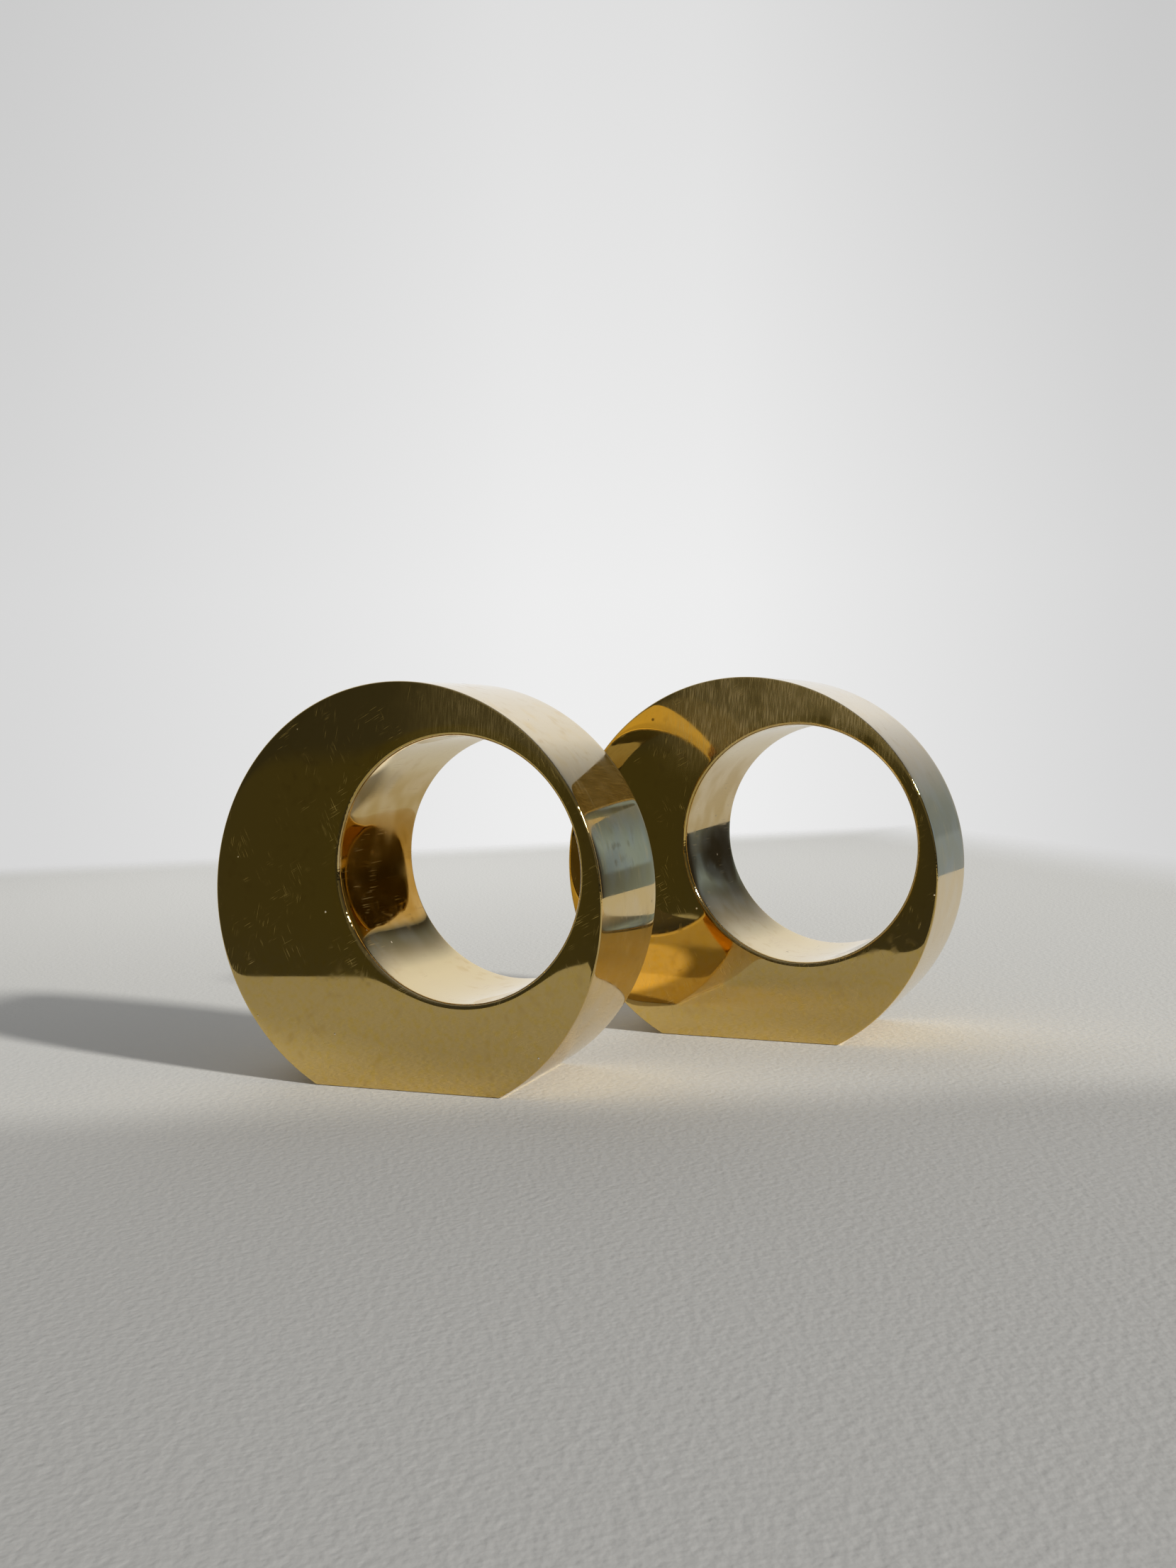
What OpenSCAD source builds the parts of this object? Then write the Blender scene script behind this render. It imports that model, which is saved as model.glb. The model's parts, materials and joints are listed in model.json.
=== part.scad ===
// A pair of polished brass rings that stand on edge.
// Each ring is a thick disc with an off-centre round bore and a flat foot.
// The origin is the centre of the near ring's foot, its bore runs along Y, and +Z is up.

/* [Ring] */
// Outside diameter of the disc
outer_d = 56; // [56:0.5:66]
// Width of a ring, from its front face to its rear face
ring_w = 19.7; // [10:0.1:24]
// Diameter of the bore
bore_d = 33.5; // [26:0.5:33.5]
// How far the bore's centre lies to the right of the disc's centre
bore_shift_x = 8.3; // [0:0.1:8.3]
// How far the bore's centre lies above the disc's centre
bore_shift_z = 3.9; // [0:0.1:4.1]
// Height of the disc's centre above the flat foot
foot_height = 24.6; // [22:0.2:27]
// Radius of the crisp edges round the outline and the foot
edge_r = 0.25; // [0.2:0.05:0.8]
// Radius of the bore's rolled mouths
mouth_r = 0.7; // [0.2:0.05:0.9]

/* [Placing] */
// Place of the far ring's foot to the right of the near ring's
far_x = 34.7; // [20:0.1:60]
// Place of the far ring's foot behind the near ring's
far_y = 39.7; // [32:0.1:90]
// Turn of the far ring, anticlockwise seen from above
far_turn = -3.2; // [-10:0.2:10]

/* [Hidden] */
$fn = 160;

brass = [0.76, 0.62, 0.33];

outer_r = outer_d / 2;
bore_r = bore_d / 2;
half_w = ring_w / 2;
// Middles of the roundings, measured from the middle of the width
edge_z = half_w - edge_r;
mouth_z = half_w - mouth_r;
// How far a cutter runs past the surface that it opens
past = 1;

// Half section of the disc, with its two outer edges rounded
module disc_section() {
    translate([0, -half_w])
        square([outer_r - edge_r, ring_w]);
    translate([0, -edge_z])
        square([outer_r, 2 * edge_z]);
    for (side = [-1, 1])
        translate([outer_r - edge_r, side * edge_z])
            circle(edge_r);
}

// Disc with its axis along Z
module disc() {
    rotate_extrude()
        intersection() {
            disc_section();
            translate([0, -half_w])
                square([outer_r, ring_w]);
        }
}

// Half section of the bore, flared round both rolled mouths
module bore_section() {
    translate([0, -half_w - past])
        square([bore_r, ring_w + 2 * past]);
    for (side = [0, 1])
        mirror([0, side])
            difference() {
                translate([0, mouth_z])
                    square([bore_r + mouth_r, mouth_r + past]);
                translate([bore_r + mouth_r, mouth_z])
                    circle(mouth_r);
            }
}

// Section of the waste under the foot, with both foot edges rounded
module foot_section() {
    translate([-outer_r, -half_w - past])
        square([outer_r, ring_w + 2 * past]);
    for (side = [0, 1])
        mirror([0, side])
            difference() {
                translate([-past, edge_z])
                    square([past + edge_r, edge_r + past]);
                translate([edge_r, edge_z])
                    circle(edge_r);
            }
}

// One whole ring, standing on its foot, with its width centred on the origin
module ring() {
    rotate([90, 0, 0])
        difference() {
            translate([0, foot_height, 0])
                disc();
            translate([bore_shift_x, foot_height + bore_shift_z, 0])
                rotate_extrude()
                    bore_section();
            rotate([90, 0, 90])
                linear_extrude(height = outer_d, center = true)
                    foot_section();
        }
}

module near_ring() {
    color(brass)
        ring();
}

module far_ring() {
    color(brass)
        translate([far_x, far_y, 0])
            rotate([0, 0, far_turn])
                ring();
}

near_ring();
far_ring();
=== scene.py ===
import json
import math

import bmesh
import bpy
from mathutils import Matrix, Vector


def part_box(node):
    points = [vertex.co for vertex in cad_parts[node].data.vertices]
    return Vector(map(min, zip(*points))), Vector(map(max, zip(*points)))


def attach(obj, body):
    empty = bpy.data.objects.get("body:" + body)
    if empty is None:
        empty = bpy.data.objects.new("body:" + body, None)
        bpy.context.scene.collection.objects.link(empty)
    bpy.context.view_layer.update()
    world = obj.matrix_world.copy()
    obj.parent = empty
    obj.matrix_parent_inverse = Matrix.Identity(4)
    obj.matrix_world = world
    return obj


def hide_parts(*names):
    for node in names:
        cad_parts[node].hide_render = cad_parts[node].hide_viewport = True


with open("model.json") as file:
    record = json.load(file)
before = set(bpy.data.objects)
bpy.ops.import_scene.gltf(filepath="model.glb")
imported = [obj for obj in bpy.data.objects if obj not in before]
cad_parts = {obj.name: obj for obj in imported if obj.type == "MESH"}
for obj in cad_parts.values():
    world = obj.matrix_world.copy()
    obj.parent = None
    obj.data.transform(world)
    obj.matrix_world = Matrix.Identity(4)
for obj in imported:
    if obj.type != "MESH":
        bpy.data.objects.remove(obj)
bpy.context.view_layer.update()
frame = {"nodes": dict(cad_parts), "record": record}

mounts = {mount["name"]: mount for mount in frame["record"]["mounts"]}
mm = 0.001
micron = 0.000001
print("frame loaded:", sorted(frame["nodes"]))


# sizes that both rings share, read from the solids and the mounts
def readRing():
    low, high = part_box("near_ring")
    bore = mounts["near_bore"]
    outerR = (high.x - low.x) / 2
    halfW = (high.y - low.y) / 2
    return {
        "outerR": outerR,
        "halfW": halfW,
        "centreZ": high.z - outerR,
        "boreR": bore["dims"]["r_mm"] * mm,
        "boreX": bore["pos_m"][0],
        "boreZ": bore["pos_m"][2],
        "mouthR": halfW - bore["dims"]["length_mm"] * mm / 2,
    }


# each ring's foot and turn, the seed of its marks, and where its face is rubbed and given painted sheen, in
# mm from its middle
def readPlaces():
    axis = mounts["far_bore"]["axis"]
    return {
        "near": {
            "foot": Vector(mounts["near_foot"]["pos_m"]),
            "turn": 0.0,
            "seed": 0.0,
            "rubbedAndSheen": {"from": -2.0, "to": 12.0, "share": 0.28},
        },
        "far": {
            "foot": Vector(mounts["far_foot"]["pos_m"]),
            "turn": math.atan2(-axis[0], axis[1]),
            "seed": 50.0,
            "rubbedAndSheen": {"from": -15.0, "to": -4.0, "share": 0.6},
        },
    }


ring = readRing()
places = readPlaces()


# node helpers
def addNode(tree, kind, settings=None, **sockets):
    node = tree.nodes.new(kind)
    for name, value in (settings or {}).items():
        setattr(node, name, value)
    for name, value in sockets.items():
        plug(tree, node.inputs[int(name[1:])] if name[1:].isdigit() else node.inputs[name], value)
    return node


def plug(tree, socket, value):
    if isinstance(value, bpy.types.NodeSocket):
        tree.links.new(value, socket)
    else:
        socket.default_value = value


def mathNode(tree, operation, first, second=0.0, third=0.0):
    node = addNode(tree, "ShaderNodeMath", {"operation": operation}, i0=first, i1=second, i2=third)
    return node.outputs[0]


def sumNodes(tree, values):
    total = values[0]
    for value in values[1:]:
        total = mathNode(tree, "ADD", total, value)
    return total


# where all the masks hold; a plain number among them weakens the rest
def overlap(tree, *masks):
    total = masks[0]
    for mask in masks[1:]:
        total = mathNode(tree, "MULTIPLY", total, mask)
    return total


# 0 below low and 1 above high, or the other way round where low is the greater
def maskNode(tree, value, low, high):
    node = addNode(tree, "ShaderNodeMapRange", {"interpolation_type": "SMOOTHSTEP"}, Value=value)
    node.inputs["From Min"].default_value = low
    node.inputs["From Max"].default_value = high
    return node.outputs[0]


def mixNode(tree, share, first, second):
    node = addNode(tree, "ShaderNodeMix", {"data_type": "RGBA"}, i0=share)
    for socket, tone in ((node.inputs[6], first), (node.inputs[7], second)):
        plug(tree, socket, tone if isinstance(tone, bpy.types.NodeSocket) else (*tone, 1))
    return node.outputs[2]


def rampNode(tree, factor, stops):
    node = addNode(tree, "ShaderNodeValToRGB", i0=factor)
    ramp = node.color_ramp
    while len(ramp.elements) < len(stops):
        ramp.elements.new(1.0)
    for element, (place, tone) in zip(ramp.elements, stops):
        element.position = place
        element.color = (*tone, 1) if hasattr(tone, "__len__") else (tone, tone, tone, 1)
    return node.outputs[0]


# a vector seen from a place: turned back, then measured in units of size
def seenFrom(tree, vector, size, foot=(0, 0, 0), turn=(0, 0, 0)):
    node = addNode(tree, "ShaderNodeMapping", {"vector_type": "TEXTURE"}, Vector=vector)
    node.inputs["Location"].default_value = foot
    node.inputs["Rotation"].default_value = turn
    node.inputs["Scale"].default_value = size if hasattr(size, "__len__") else (size, size, size)
    return node.outputs[0]


# noise whose patches measure size, in the vector's own units
def noiseNode(tree, vector, size, seed, detail=1.0, turn=(0, 0, 0)):
    scaled = seenFrom(tree, vector, size, turn=turn)
    node = addNode(
        tree, "ShaderNodeTexNoise", {"noise_dimensions": "4D"},
        Vector=scaled, W=seed, Scale=1.0, Detail=detail,
    )
    return node.outputs[0]


def blankMaterial(name):
    material = bpy.data.materials.new(name)
    material.use_nodes = True
    tree = material.node_tree
    tree.nodes.clear()
    return material, tree


def finishMaterial(tree, surface):
    out = addNode(tree, "ShaderNodeOutputMaterial")
    tree.links.new(surface.outputs[0], out.inputs["Surface"])


def newPiece(name, bm, material):
    mesh = bpy.data.meshes.new(name)
    bm.to_mesh(mesh)
    bm.free()
    mesh.materials.append(material)
    piece = bpy.data.objects.new(name, mesh)
    bpy.context.scene.collection.objects.link(piece)
    return piece


# polished brass; the sizes and heights of marks are in mm, and their depths in microns
# a mark sets in between the two levels of noise in its spread, and its seed keeps it apart from the others
dustTone = (0.70, 0.66, 0.58)
brass = {
    # the rim and bore are paler than the face: partly a cleaner finish, partly painted highlight for their
    # bright, washed-out reflections
    "face": (0.74, 0.52, 0.14),
    "rim": (0.75, 0.54, 0.20),
    "bore": (0.77, 0.62, 0.34),
    "polish": 0.02,  # roughness of the clean polish
    # how squarely the surface of a face, and of a rounded edge, looks to the front or rear
    "squareOn": {"face": (0.6, 0.9), "edgeFrom": (0.08, 0.30), "edgeTo": (0.985, 0.93)},
    "boreEnd": (1.2, 0.8),  # outside the bore's wall, where its finish stops
    "footing": {  # dulled paler near the foot
        "from": 24.0, "to": 12.0, "size": 0.8, "spread": (0.2, 0.6), "seed": 50.0,
        "tone": (0.73, 0.53, 0.20),
    },
    "paintedBoreShade": {"left": (-0.60, -0.84), "tone": (0.58, 0.40, 0.13)},  # painted shade: the bore's left wall darkened, by the cosine round it
    "smear": {"size": 9.0, "spread": (0.42, 0.72), "seed": 1.0, "rough": 0.03},
    "cloud": {
        "size": 4.5, "spread": (0.40, 0.68), "seed": 40.0,
        "tone": (0.76, 0.60, 0.34), "share": 0.6, "rough": 0.06,
    },
    "paleRimTop": {  # paler in patches on the rim's top
        "from": 34.0, "to": 46.0, "size": 3.0, "spread": (0.05, 0.50), "seed": 60.0,
        "tone": (0.77, 0.66, 0.46), "share": 0.85,
    },
    "tarnish": {
        "size": 1.6, "spread": (0.50, 0.75), "seed": 2.0,
        "patch": {"size": 9.0, "spread": (0.42, 0.66), "seed": 3.0},
        "tone": (0.56, 0.36, 0.09), "share": 0.38, "rough": 0.08,
    },
    "hazeAndSheen": {  # rubbed lines high on a face, kept and paled where the lamp catches them: partly painted sheen
        "from": 36.0, "to": 46.0,
        "lines": (0.09, 1.0, 2.2), "lean": 6.0, "spread": (0.46, 0.70), "seed": 5.0,
        "veil": 0.3,  # share of the rubbing that lies between the lines
        "patch": {"size": 5.0, "spread": (0.20, 0.52), "seed": 4.0},
        "tone": dustTone, "share": 0.4, "rough": 0.15, "dull": 0.75,
    },
    "rimLines": {
        "lines": (5.0, 0.14, 5.0), "spread": (0.54, 0.74), "seed": 6.0,
        "patch": {"size": 4.0, "spread": (0.45, 0.70), "seed": 7.0},
        "rough": 0.10, "dull": 0.16,
    },
    "boreLines": {
        "lines": (0.16, 4.0, 0.16), "spread": (0.62, 0.74), "seed": 8.0,
        "patch": {"size": 3.0, "spread": (0.50, 0.66), "seed": 9.0},
        "rough": 0.10, "dull": 0.20,
    },
    "scratch": {
        "lines": (0.07, 1.0, 2.4), "leans": (14.0, -24.0, 63.0), "spread": (0.69, 0.76), "seed": 10.0,
        "patch": {"size": 4.0, "spread": (0.56, 0.66), "seed": 20.0},
        "rough": 0.15, "dull": 0.36,
    },
    "grainCore": 0.5,  # share of a grain's reach at full strength; a reach is a share of the size
    "spot": {
        "size": 4.6, "reach": 0.075, "seed": 7.0,
        "tone": (0.22, 0.14, 0.04), "share": 1.0, "rough": 0.2,
    },
    "speck": {
        "size": 2.1, "reach": 0.085, "seed": 0.0,
        "tone": dustTone, "share": 1.0, "rough": 0.5, "dull": 1.0, "depth": 40.0,
    },
    "wave": {"size": 9.0, "seed": 30.0, "depth": 3.0},  # faint unevenness left by the buffing wheel
    "nick": {"size": 0.5, "seed": 31.0, "depth": 22.0},  # dents along the crisp edges
}


# where a spot lies: a face, the rim, the bore or a rounded edge
def findZones(tree, across, normal):
    squareOn = brass["squareOn"]
    facing = mathNode(tree, "ABSOLUTE", normal["Y"])
    face = maskNode(tree, facing, *squareOn["face"])
    wall = mathNode(tree, "SUBTRACT", 1.0, face)
    edge = overlap(
        tree, maskNode(tree, facing, *squareOn["edgeFrom"]), maskNode(tree, facing, *squareOn["edgeTo"])
    )
    sideways = mathNode(tree, "SUBTRACT", across["X"], ring["boreX"] / mm)
    upward = mathNode(tree, "SUBTRACT", across["Z"], ring["boreZ"] / mm)
    squares = sumNodes(tree, [overlap(tree, sideways, sideways), overlap(tree, upward, upward)])
    fromBore = mathNode(tree, "SQRT", squares)
    ends = (ring["boreR"] / mm + gap for gap in brass["boreEnd"])
    bore = overlap(tree, wall, maskNode(tree, fromBore, *ends))
    rim = mathNode(tree, "SUBTRACT", wall, bore)
    # how far round to the bore's left a spot lies, where the painted shade goes
    boreLeft = maskNode(tree, mathNode(tree, "DIVIDE", sideways, fromBore), *brass["paintedBoreShade"]["left"])
    return {"face": face, "wall": wall, "edge": edge, "bore": bore, "rim": rim, "boreLeft": boreLeft}


def makeBrass(name, place):
    material, tree = blankMaterial(name)
    seed = place["seed"]
    coords = addNode(tree, "ShaderNodeTexCoord")
    spot = seenFrom(tree, coords.outputs["Object"], mm, place["foot"], (0, 0, place["turn"]))
    across = addNode(tree, "ShaderNodeSeparateXYZ", i0=spot).outputs
    normal = addNode(tree, "ShaderNodeSeparateXYZ", i0=coords.outputs["Normal"]).outputs
    zones = findZones(tree, across, normal)

    def patchy(mark, step=0):
        noise = noiseNode(tree, spot, mark["size"], seed + mark["seed"] + step)
        return maskNode(tree, noise, *mark["spread"])

    def strokes(mark, lean=0.0, step=0):
        turn = (0, math.radians(lean), 0)
        noise = noiseNode(tree, spot, mark["lines"], seed + mark["seed"] + step, detail=0.0, turn=turn)
        return maskNode(tree, noise, *mark["spread"])

    def grains(mark):
        cells = addNode(
            tree, "ShaderNodeTexVoronoi", {"voronoi_dimensions": "4D", "feature": "F1"},
            Vector=seenFrom(tree, spot, mark["size"]), W=seed + mark["seed"], Scale=1.0,
        )
        return maskNode(tree, cells.outputs["Distance"], mark["reach"], mark["reach"] * brass["grainCore"])

    def atHeight(mark):
        return maskNode(tree, across["Z"], mark["from"], mark["to"])

    footing, paleRimTop, tarnish, hazeAndSheen = (brass[kind] for kind in ("footing", "paleRimTop", "tarnish", "hazeAndSheen"))
    rimLines, boreLines, scratch = (brass[kind] for kind in ("rimLines", "boreLines", "scratch"))
    wave, nick = brass["wave"], brass["nick"]
    rubbedAndSheen = place["rubbedAndSheen"]
    hazeLines = strokes(hazeAndSheen, hazeAndSheen["lean"])
    veiled = mathNode(tree, "MULTIPLY_ADD", hazeLines, 1.0 - hazeAndSheen["veil"], hazeAndSheen["veil"])
    cuts = [
        overlap(tree, strokes(scratch, lean, step), patchy(scratch["patch"], step))
        for step, lean in enumerate(scratch["leans"])
    ]
    # in the order in which their tones lie over each other
    marks = {
        "smear": patchy(brass["smear"]),
        "cloud": overlap(tree, patchy(brass["cloud"]), zones["wall"]),
        "paleRimTop": overlap(tree, atHeight(paleRimTop), patchy(paleRimTop), zones["rim"]),
        "tarnish": overlap(tree, patchy(tarnish), patchy(tarnish["patch"])),
        # the haze: partly rubbed lines, partly painted sheen where the lamp catches them
        "hazeAndSheen": overlap(
            tree, veiled, atHeight(hazeAndSheen), maskNode(tree, across["X"], rubbedAndSheen["from"], rubbedAndSheen["to"]),
            patchy(hazeAndSheen["patch"]), zones["face"], rubbedAndSheen["share"],
        ),
        "rimLines": overlap(tree, strokes(rimLines), patchy(rimLines["patch"]), zones["rim"]),
        "boreLines": overlap(tree, strokes(boreLines), patchy(boreLines["patch"]), zones["bore"]),
        "scratch": overlap(tree, sumNodes(tree, cuts), zones["face"]),
        "spot": grains(brass["spot"]),
        "speck": grains(brass["speck"]),
        "wave": noiseNode(tree, spot, wave["size"], seed + wave["seed"], detail=0.0),
        "nick": overlap(tree, noiseNode(tree, spot, nick["size"], seed + nick["seed"]), zones["edge"]),
    }

    def addUp(quality, start):
        return sumNodes(tree, [start] + [
            overlap(tree, mark, brass[kind][quality])
            for kind, mark in marks.items() if quality in brass[kind]
        ])

    dusty = overlap(tree, atHeight(footing), patchy(footing))
    tone = mixNode(tree, dusty, brass["face"], footing["tone"])
    # the bore's left wall takes a darker tone: painted shade for the dark it mirrors
    boreWithPaintedShade = mixNode(tree, zones["boreLeft"], brass["bore"], brass["paintedBoreShade"]["tone"])
    # the rim and bore take their paler tones, partly painted highlight
    tone = mixNode(tree, zones["rim"], mixNode(tree, zones["bore"], tone, boreWithPaintedShade), brass["rim"])
    for kind, mark in marks.items():
        if "tone" in brass[kind]:
            tone = mixNode(tree, overlap(tree, mark, brass[kind]["share"]), tone, brass[kind]["tone"])
    bump = addNode(tree, "ShaderNodeBump", Height=addUp("depth", 0.0), Strength=1.0, Distance=micron)
    shader = addNode(tree, "ShaderNodeBsdfPrincipled", Normal=bump.outputs[0])
    plug(tree, shader.inputs["Base Color"], tone)
    plug(tree, shader.inputs["Roughness"], addUp("rough", brass["polish"]))
    plug(tree, shader.inputs["Metallic"], mathNode(tree, "SUBTRACT", 1.0, addUp("dull", 0.0)))
    finishMaterial(tree, shader)
    return material


# one ring: a disc with a flat foot, an off-centre bore and buffed edges, cut with its foot at the origin
ringCut = {
    "sides": 288,  # straight sides in a whole turn of the outline
    "chordCuts": 30,
    "edgeRound": 0.25 * mm,
    "edgeSegments": 6,
    "mouthSegments": 12,
    "sharpFrom": math.radians(15),
    "flatFrom": 0.9999,  # the least Y in the normal of a flat front or rear
    "seams": [0.12, 0.2, 0.3, 0.5, 0.8, 1.2, 1.8, 2.4],  # in mm, the steps of the loops laid beside an edge
    "seamMost": 0.2,  # the most of an edge that one step takes
    "roll": {"depth": 0.020 * mm, "reach": 0.6 * mm},  # buffing draws the surface in beside an edge
    "mouthRoll": {"depth": 0.110 * mm, "reach": 2.0 * mm},  # and further in from the bore's mouths
    "hold": 1.0 * mm,  # how far in from its own edge that drawing-in acts
    "belly": 0.26 * mm,  # how much greater the bore's radius is halfway through than at its mouths
}


def fromBoreAxis(spot):
    return Vector((spot.x - ring["boreX"], 0, spot.z - ring["boreZ"]))


def fromDiscAxis(spot):
    return Vector((spot.x, 0, spot.z - ring["centreZ"]))


def cutRing(bm):
    upright = Matrix.Rotation(math.pi / 2, 4, "X")
    front = -ring["halfW"]
    disc = Matrix.Translation((0, front, ring["centreZ"])) @ upright
    bmesh.ops.create_circle(bm, segments=ringCut["sides"], radius=ring["outerR"], matrix=disc)
    # the outline is cut off level with the foot, and a chord closes it
    bmesh.ops.bisect_plane(
        bm, geom=bm.verts[:] + bm.edges[:], plane_co=(0, 0, 0), plane_no=(0, 0, 1), clear_inner=True
    )
    ends = [vert for vert in bm.verts if len(vert.link_edges) == 1]
    chord = bmesh.ops.contextual_create(bm, geom=ends)["edges"]
    bmesh.ops.subdivide_edges(bm, edges=chord, cuts=ringCut["chordCuts"])
    bore = Matrix.Translation((ring["boreX"], front, ring["boreZ"])) @ upright
    bmesh.ops.create_circle(bm, segments=len(bm.verts), radius=ring["boreR"], matrix=bore)
    bmesh.ops.bridge_loops(bm, edges=bm.edges[:])
    drawn = bmesh.ops.extrude_face_region(bm, geom=bm.faces[:])["geom"]
    rear = [item for item in drawn if isinstance(item, bmesh.types.BMVert)]
    bmesh.ops.translate(bm, verts=rear, vec=(0, 2 * ring["halfW"], 0))
    bmesh.ops.recalc_face_normals(bm, faces=bm.faces[:])


def roundEdges(bm):
    def onMouth(edge):
        return all(abs(fromBoreAxis(vert.co).length - ring["boreR"]) < micron for vert in edge.verts)

    def bevel(mouths, offset, segments):
        sharp = [
            edge for edge in bm.edges
            if edge.calc_face_angle() > ringCut["sharpFrom"] and onMouth(edge) == mouths
        ]
        bmesh.ops.bevel(
            bm, geom=sharp, offset=offset, offset_type="OFFSET", segments=segments,
            profile=0.5, affect="EDGES", material=-1, clamp_overlap=False,
        )

    # the mouths come first, so that the outline's new edges can't be taken for theirs
    bevel(True, ring["mouthR"], ringCut["mouthSegments"])
    bevel(False, ringCut["edgeRound"], ringCut["edgeSegments"])


# loops beside both ends of the staves, where the buffed surface curves
def laySeams(bm, staves, rank):
    for step in ringCut["seams"]:
        for pick in (min, max):
            seam = []
            for place, stave in enumerate(staves):
                start = pick(stave.verts, key=rank)
                end = stave.other_vert(start)
                share = min(step * mm / stave.calc_length(), ringCut["seamMost"])
                fresh = bmesh.utils.edge_split(stave, start, share)[1]
                staves[place] = bm.edges.get((fresh, end))
                seam.append(fresh)
            bmesh.ops.connect_verts(bm, verts=seam)


def buffEdges(bm):
    def roll(gap, setting, clear):
        return setting["depth"] * math.exp(-max(gap - clear, 0) / setting["reach"])

    def held(gap):
        return math.exp(-max(gap, 0) / ringCut["hold"])

    edge, mouth = ringCut["edgeRound"], ring["mouthR"]
    for vert in bm.verts:
        outward, bored = fromDiscAxis(vert.co), fromBoreAxis(vert.co)
        inRim = ring["outerR"] - outward.length
        inBore = bored.length - ring["boreR"]
        inFoot = vert.co.z
        inFace = ring["halfW"] - abs(vert.co.y)
        sink = roll(min(inRim, inFoot), ringCut["roll"], edge) + roll(inBore, ringCut["roll"], mouth)
        vert.co.y -= sink * vert.co.y / ring["halfW"]
        vert.co -= outward.normalized() * roll(inFace, ringCut["roll"], edge) * held(inRim)
        vert.co += bored.normalized() * roll(inFace, ringCut["mouthRoll"], mouth) * held(inBore)
        if inBore < mouth:
            vert.co += bored.normalized() * ringCut["belly"] * (1 - (vert.co.y / ring["halfW"]) ** 2)


def makeRing(name, body, place):
    bm = bmesh.new()
    cutRing(bm)
    roundEdges(bm)
    spokes = [
        edge for edge in bm.edges
        if all(abs(face.normal.y) > ringCut["flatFrom"] for face in edge.link_faces)
    ]
    laySeams(bm, spokes, lambda vert: fromBoreAxis(vert.co).length)
    staves = [edge for edge in bm.edges if abs(edge.verts[0].co.y - edge.verts[1].co.y) > ring["halfW"]]
    laySeams(bm, staves, lambda vert: vert.co.y)
    buffEdges(bm)
    stand = Matrix.Translation(place["foot"]) @ Matrix.Rotation(place["turn"], 4, "Z")
    bmesh.ops.transform(bm, matrix=stand, verts=bm.verts[:])
    bmesh.ops.recalc_face_normals(bm, faces=bm.faces[:])
    for face in bm.faces:
        face.smooth = True
    piece = newPiece(name, bm, makeBrass(name + "Brass", place))
    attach(piece, body)
    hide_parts(body)
    print(name, "has", len(piece.data.polygons), "faces")


makeRing("nearRing", "near_ring", places["near"])
makeRing("farRing", "far_ring", places["far"])


# the photograph's view: its level axis is turned from the near ring's bore, about the front of its foot
view = {
    "turn": math.radians(22.21),
    "eye": Vector((24.75, -178.47, 45.16)) * mm,  # right of, in front of and above the foot's front edge
    "pitch": math.radians(-2.07),
    "roll": math.radians(-1.82),
    "focal": 1980.2,  # in pixels of the whole frame
    "frameH": 2212,
    "sensor": 36.0,
    "nearest": 0.01,  # in metres
    "furthest": 20.0,
}
viewFoot = Vector((0, -ring["halfW"], 0))
viewFrame = Matrix.Translation(viewFoot) @ Matrix.Rotation(view["turn"], 4, "Z")


def makeCamera():
    lens = bpy.data.cameras.new("viewCamera")
    lens.sensor_width = view["sensor"]
    lens.lens = view["focal"] / view["frameH"] * view["sensor"]
    lens.clip_start = view["nearest"]
    lens.clip_end = view["furthest"]
    camera = bpy.data.objects.new("viewCamera", lens)
    bpy.context.scene.collection.objects.link(camera)
    aim = Matrix.Rotation(math.pi / 2 + view["pitch"], 4, "X") @ Matrix.Rotation(view["roll"], 4, "Z")
    camera.matrix_world = viewFrame @ Matrix.Translation(view["eye"]) @ aim
    bpy.context.scene.camera = camera
    print("camera set")


makeCamera()


# floor, in mm in the view's own axes: right of the near foot, and away from the eye
floor = {
    "back": [(150, 415), (-600, 263)],
    "front": [
        (-160, 10), (-95, -37), (-73, -52), (-48, -85), (-28, -72), (-4, -60), (14, -52), (28, -62),
        (60, -330), (307, -330),
    ],
    "apron": [(-900, -900), (307, -900)],
    "tone": (0.72, 0.72, 0.70),
    # the front's darker tone is a painted shadow, standing in for the key's light being cut off there
    "frontShade": (0.53, 0.53, 0.52),
    "frontFrom": 1.0,  # the painted shadow of the front begins here
    "frontTo": -19.0,
    "dim": {"from": 6.0, "to": 22.0, "shift": 22.0},  # to the right, the metal sees that turn further back
    "rough": 0.85,
    "gloss": 0.25,
    "grains": [{"size": 0.9, "depth": 110.0}, {"size": 0.35, "depth": 24.0}],  # depths in microns
    "seed": 3.0,
    "soft": 70.0,  # width over which the far edges fade
    "spare": 1.12,  # how much further the sheet runs, for the fading
    "glow": {  # an oval, which fades between two shares of its half sizes
        "at": (4, 54, 0), "size": (16.5, 34, 1), "inner": 0.88, "outer": 1.10,
        "tone": (1.0, 0.97, 0.92), "strength": 0.68,
    },
}


# how far inside the line from start to end a floor spot lies, with the inside on the line's left
def insideLine(tree, across, start, end):
    along = (Vector(end) - Vector(start)).normalized()
    inward = Vector((-along.y, along.x))
    away = sumNodes(tree, [
        mathNode(tree, "MULTIPLY", across["X"], inward.x),
        mathNode(tree, "MULTIPLY", across["Y"], inward.y),
    ])
    return mathNode(tree, "SUBTRACT", away, inward.dot(Vector(start)))


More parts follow.
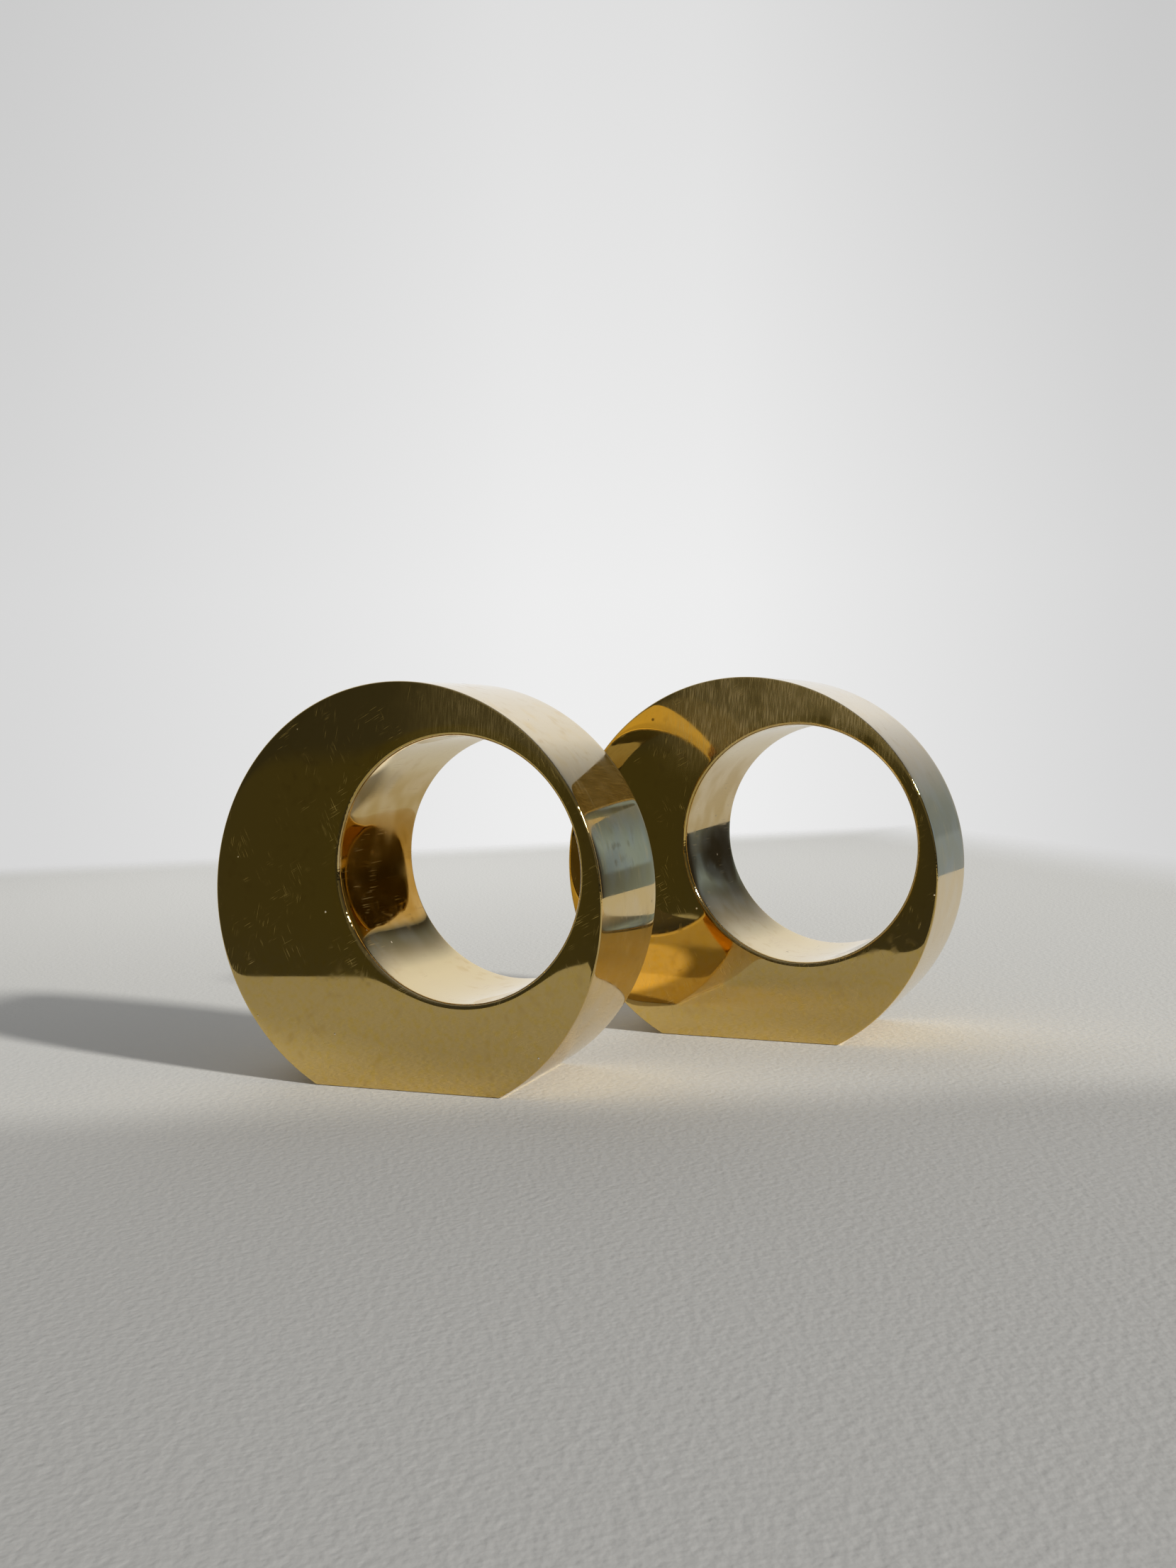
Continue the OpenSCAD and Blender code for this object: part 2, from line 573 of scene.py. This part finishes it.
def makeFloorFinish():
    material, tree = blankMaterial("paleFloor")
    coords = addNode(tree, "ShaderNodeTexCoord")
    spot = seenFrom(tree, coords.outputs["Object"], mm, viewFoot, (0, 0, view["turn"]))
    across = addNode(tree, "ShaderNodeSeparateXYZ", i0=spot).outputs
    path = addNode(tree, "ShaderNodeLightPath").outputs
    height = sumNodes(tree, [
        mathNode(tree, "MULTIPLY", noiseNode(tree, spot, grain["size"], floor["seed"]), grain["depth"])
        for grain in floor["grains"]
    ])
    bump = addNode(tree, "ShaderNodeBump", Height=height, Strength=1.0, Distance=micron)
    shader = addNode(tree, "ShaderNodeBsdfPrincipled", Roughness=floor["rough"], Normal=bump.outputs[0])
    shader.inputs["Specular IOR Level"].default_value = floor["gloss"]
    # right of the near foot the metal sees the darker front sooner, as the floor shines less that way
    dim = floor["dim"]
    dimmed = overlap(tree, maskNode(tree, across["X"], dim["from"], dim["to"]), path["Is Glossy Ray"])
    depth = mathNode(tree, "MULTIPLY_ADD", dimmed, -dim["shift"], across["Y"])
    # the floor's front takes its painted shadow
    inFrontShade = maskNode(tree, depth, floor["frontFrom"], floor["frontTo"])
    plug(tree, shader.inputs["Base Color"], mixNode(tree, inFrontShade, floor["tone"], floor["frontShade"]))
    # between the rings the metal sees a brighter floor
    glow = floor["glow"]
    oval = seenFrom(tree, spot, glow["size"], glow["at"])
    fromGlow = addNode(tree, "ShaderNodeVectorMath", {"operation": "LENGTH"}, i0=oval).outputs["Value"]
    inGlow = maskNode(tree, fromGlow, glow["outer"], glow["inner"])
    lit = overlap(tree, inGlow, path["Is Glossy Ray"], glow["strength"])
    plug(tree, shader.inputs["Emission Strength"], lit)
    shader.inputs["Emission Color"].default_value = (*glow["tone"], 1)
    # the far edges fade into the backdrop, but only for the camera
    corner, left = floor["back"]
    right = floor["front"][-1]
    inside = mathNode(
        tree, "MINIMUM", insideLine(tree, across, corner, left), insideLine(tree, across, right, corner)
    )
    crisp = mathNode(tree, "GREATER_THAN", inside, 0.0)
    faint = maskNode(tree, inside, -floor["soft"] / 2, floor["soft"] / 2)
    shown = addNode(
        tree, "ShaderNodeMix", {"data_type": "FLOAT"}, i0=path["Is Camera Ray"], i2=crisp, i3=faint
    ).outputs[0]
    clear = addNode(tree, "ShaderNodeBsdfTransparent")
    finishMaterial(tree, addNode(
        tree, "ShaderNodeMixShader", i0=shown, i1=clear.outputs[0], i2=shader.outputs[0]
    ))
    return material


def layFloor():
    material = makeFloorFinish()

    def sheet(name, corners):
        bm = bmesh.new()
        bm.faces.new([bm.verts.new((x * mm, y * mm, 0)) for x, y in corners])
        bmesh.ops.transform(bm, matrix=viewFrame, verts=bm.verts[:])
        bmesh.ops.recalc_face_normals(bm, faces=bm.faces[:])
        piece = newPiece(name, bm, material)
        return piece

    front = floor["front"][:-1]
    corner, left, right = (
        (x * floor["spare"], y * floor["spare"]) for x, y in (*floor["back"], floor["front"][-1])
    )
    sheet("floorTop", [corner, left, *front, right])
    apron = sheet("floorApron", [left, *floor["apron"], right, *reversed(front)])
    apron.visible_glossy = False  # the metal sees past the front line
    print("floor laid")


layFloor()


# surroundings as the metal sees them, by bearing: 0 is straight away from the eye, and right is positive
room = {
    "low": [
        (-180, 0.14), (-144, 0.12), (-134, 0.045), (-122, 0.035), (-100, 0.05), (-70, 0.40), (-45, 0.62),
        (-22, 0.72), (-6, 0.86), (9, 0.82), (20, 0.76), (28, 0.62), (33, (0.36, 0.40, 0.45)),
        (36.5, (0.20, 0.25, 0.30)), (39, (0.18, 0.23, 0.28)), (42, (0.22, 0.32, 0.48)),
        (44, (0.28, 0.40, 0.60)), (45.2, 0.03), (60, 0.03), (120, 0.05), (180, 0.12),
    ],
    "high": [
        (-180, 0.11), (-150, 0.10), (-138, 0.08), (-128, 0.04), (-100, 0.06), (-70, 0.40), (-45, 0.62),
        (-22, 0.72), (-5, 0.86), (14, 0.86), (22, 0.80), (28, (0.54, 0.55, 0.57)), (33, (0.34, 0.35, 0.38)),
        (36, (0.25, 0.27, 0.31)), (40, (0.17, 0.20, 0.26)), (44, 0.05), (60, 0.05), (120, 0.06),
        (180, 0.11),
    ],
    "below": [
        (-180, 0.03), (-150, 0.04), (-128, (0.056, 0.052, 0.024)), (-112, 0.05), (-95, 0.30), (-40, 0.62),
        (-22, 0.64), (-6, 0.68), (9, 0.66), (20, 0.62), (30, 0.42), (36, (0.25, 0.31, 0.38)),
        (42, (0.22, 0.29, 0.36)), (44.5, (0.10, 0.12, 0.15)), (46.5, 0.03), (60, 0.02), (120, 0.02),
        (180, 0.03),
    ],
    "ceiling": 0.22,
    # sines of the elevations between which one turns to the next
    "horizon": (-0.02, 0.0),
    "rise": (0.07, 0.28),
    "ceilingRise": (0.72, 0.98),
    # as the camera sees it: the tone by bearing, and its lift by the sine of the elevation
    "backdrop": [
        (-180, 0.66), (-40, 0.66), (-22, 0.68), (-2, 0.85), (6, 0.85), (22, 0.67), (40, 0.66), (180, 0.66),
    ],
    "lift": [(0.0, 1.0), (0.1, 1.0), (0.45, 0.87), (1.0, 0.75)],
    "ambient": 0.17,  # what the floor and the dust are lit by
}


def makeWorld():
    world = bpy.data.worlds.new("studio")
    bpy.context.scene.world = world
    world.use_nodes = True
    tree = world.node_tree
    tree.nodes.clear()
    coords = addNode(tree, "ShaderNodeTexCoord")
    outlook = seenFrom(tree, coords.outputs["Generated"], 1.0, turn=(0, 0, view["turn"]))
    across = addNode(tree, "ShaderNodeSeparateXYZ", i0=outlook).outputs
    bearing = mathNode(tree, "ARCTAN2", across["X"], across["Y"])
    # 0 to 1, from behind the eye round by the left
    share = mathNode(tree, "MULTIPLY_ADD", bearing, 0.5 / math.pi, 0.5)

    def byBearing(stops):
        return rampNode(tree, share, [((angle + 180) / 360, tone) for angle, tone in stops])

    def above(levels):
        return maskNode(tree, across["Z"], *levels)

    seen = mixNode(tree, above(room["rise"]), byBearing(room["low"]), byBearing(room["high"]))
    seen = mixNode(tree, above(room["ceilingRise"]), seen, [room["ceiling"]] * 3)
    seen = mixNode(tree, above(room["horizon"]), byBearing(room["below"]), seen)
    backdrop = addNode(tree, "ShaderNodeMix", {"data_type": "RGBA", "blend_type": "MULTIPLY"}, i0=1.0)
    tree.links.new(byBearing(room["backdrop"]), backdrop.inputs[6])
    tree.links.new(rampNode(tree, across["Z"], room["lift"]), backdrop.inputs[7])
    path = addNode(tree, "ShaderNodeLightPath").outputs
    tones = mixNode(tree, path["Is Glossy Ray"], [room["ambient"]] * 3, seen)
    tones = mixNode(tree, path["Is Camera Ray"], tones, backdrop.outputs[2])
    background = addNode(tree, "ShaderNodeBackground", Color=tones)
    out = addNode(tree, "ShaderNodeOutputWorld")
    tree.links.new(background.outputs[0], out.inputs["Surface"])
    print("surroundings set")


makeWorld()


# lamps, in mm in the view's own axes, with their widths in metres; a hidden one isn't mirrored in the metal
lamps = {
    "key": {
        "from": (1706, -1265, 1108), "at": (0, 20, 20), "size": 0.2, "watts": 53.5,
        "tone": (1.0, 0.975, 0.93), "hidden": False,
    },
    "fill": {
        "from": (-40, 330, 230), "at": (-40, 330, 0), "size": 0.4, "watts": 0.37,
        "tone": (1.0, 1.0, 1.0), "hidden": True,
    },
}


def makeLamps():
    for name, lamp in lamps.items():
        light = bpy.data.lights.new(name, "AREA")
        light.shape = "DISK"
        light.size = lamp["size"]
        light.energy = lamp["watts"]
        light.color = lamp["tone"]
        piece = bpy.data.objects.new(name, light)
        bpy.context.scene.collection.objects.link(piece)
        start = viewFrame @ (Vector(lamp["from"]) * mm)
        end = viewFrame @ (Vector(lamp["at"]) * mm)
        piece.location = start
        piece.rotation_euler = (end - start).to_track_quat("-Z", "Y").to_euler()
        piece.visible_glossy = not lamp["hidden"]
    print("lamps set:", sorted(lamps))


makeLamps()

bpy.context.scene.view_settings.view_transform = "Standard"
